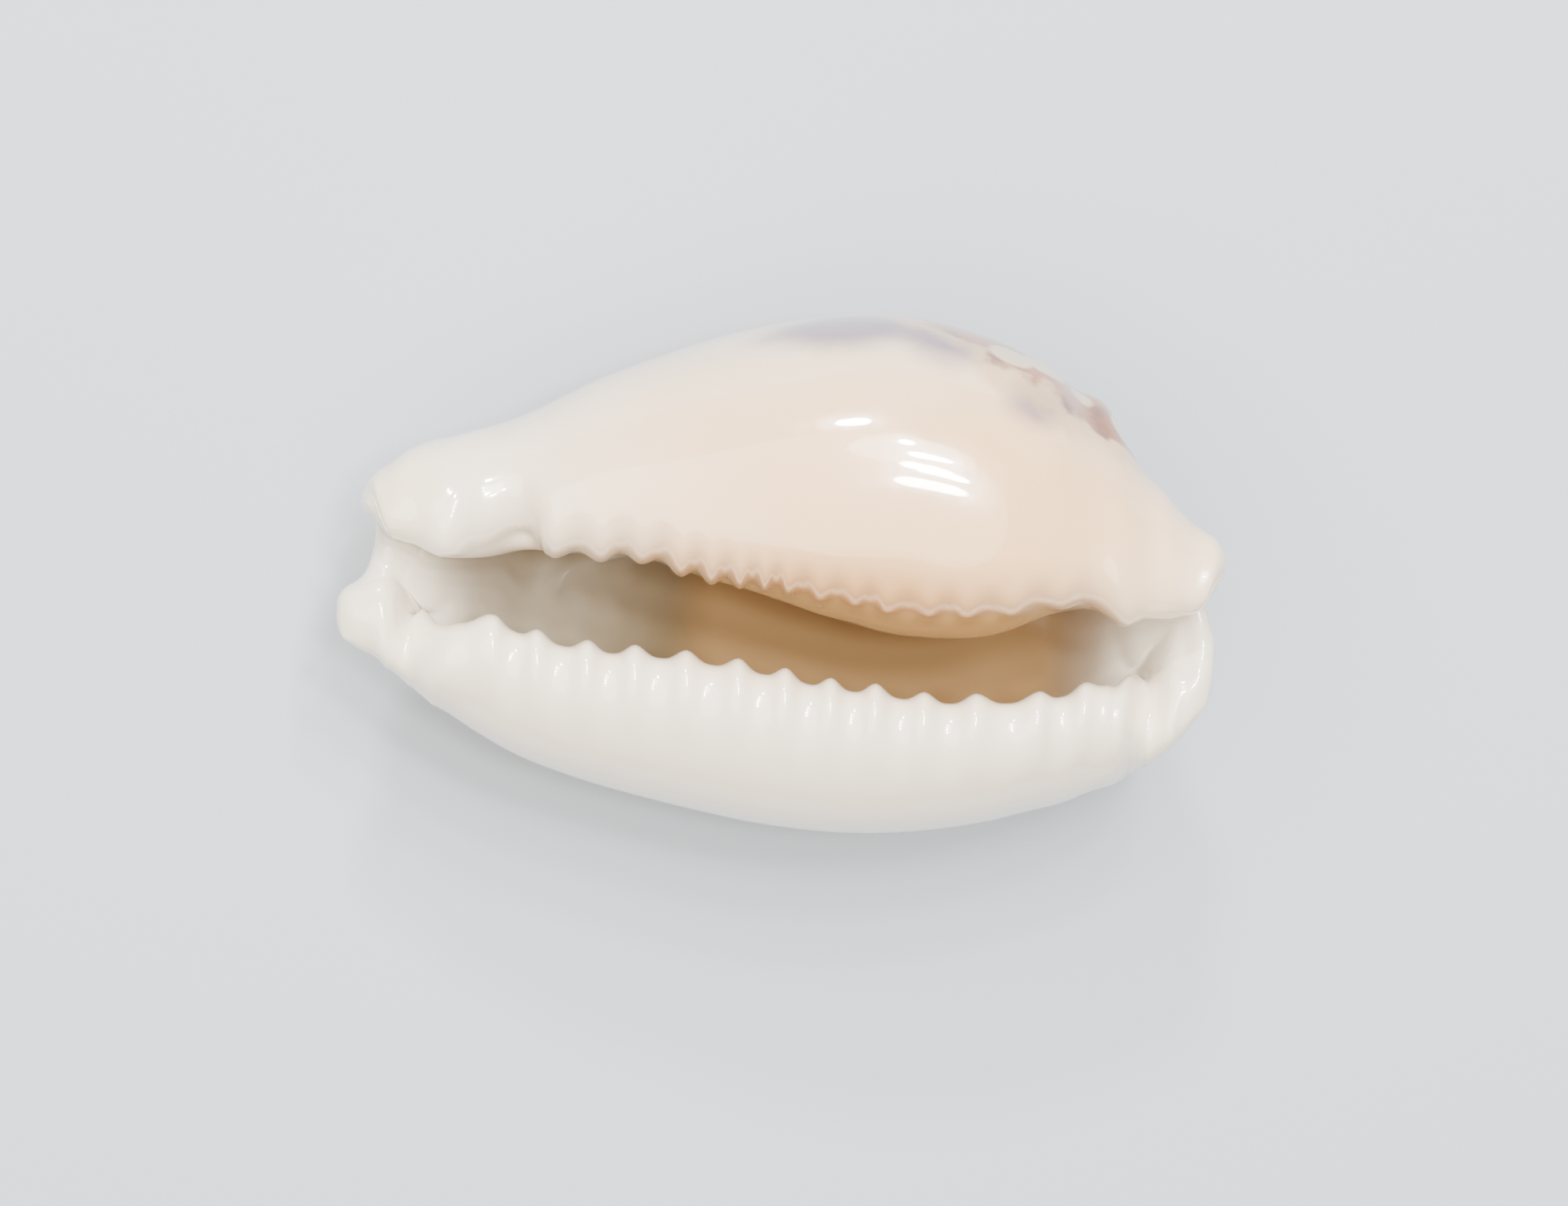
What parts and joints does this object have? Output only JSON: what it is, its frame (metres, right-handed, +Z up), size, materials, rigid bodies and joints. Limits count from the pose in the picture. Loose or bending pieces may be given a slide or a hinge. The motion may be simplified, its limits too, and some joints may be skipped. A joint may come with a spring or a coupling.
{
  "type": "cowrie shell",
  "caption": "Glossy cowrie sea shell lying on its back, its long toothed mouth turned upwards between two rolled lips",
  "frame": {"origin": "centre of the bounding box in X and Y, at the level of the small flat the shell rests on", "axes": "X along the shell, front canal at -X and spire end at +X; Y across it, inner lip at +Y and outer lip at -Y; Z up, mouth upwards"},
  "size_m": [0.0266, 0.016, 0.0133],
  "materials": {
    "shell": "gloss"
  },
  "bodies": {
    "root": {"shell": "shell"}
  },
  "joints": []
}
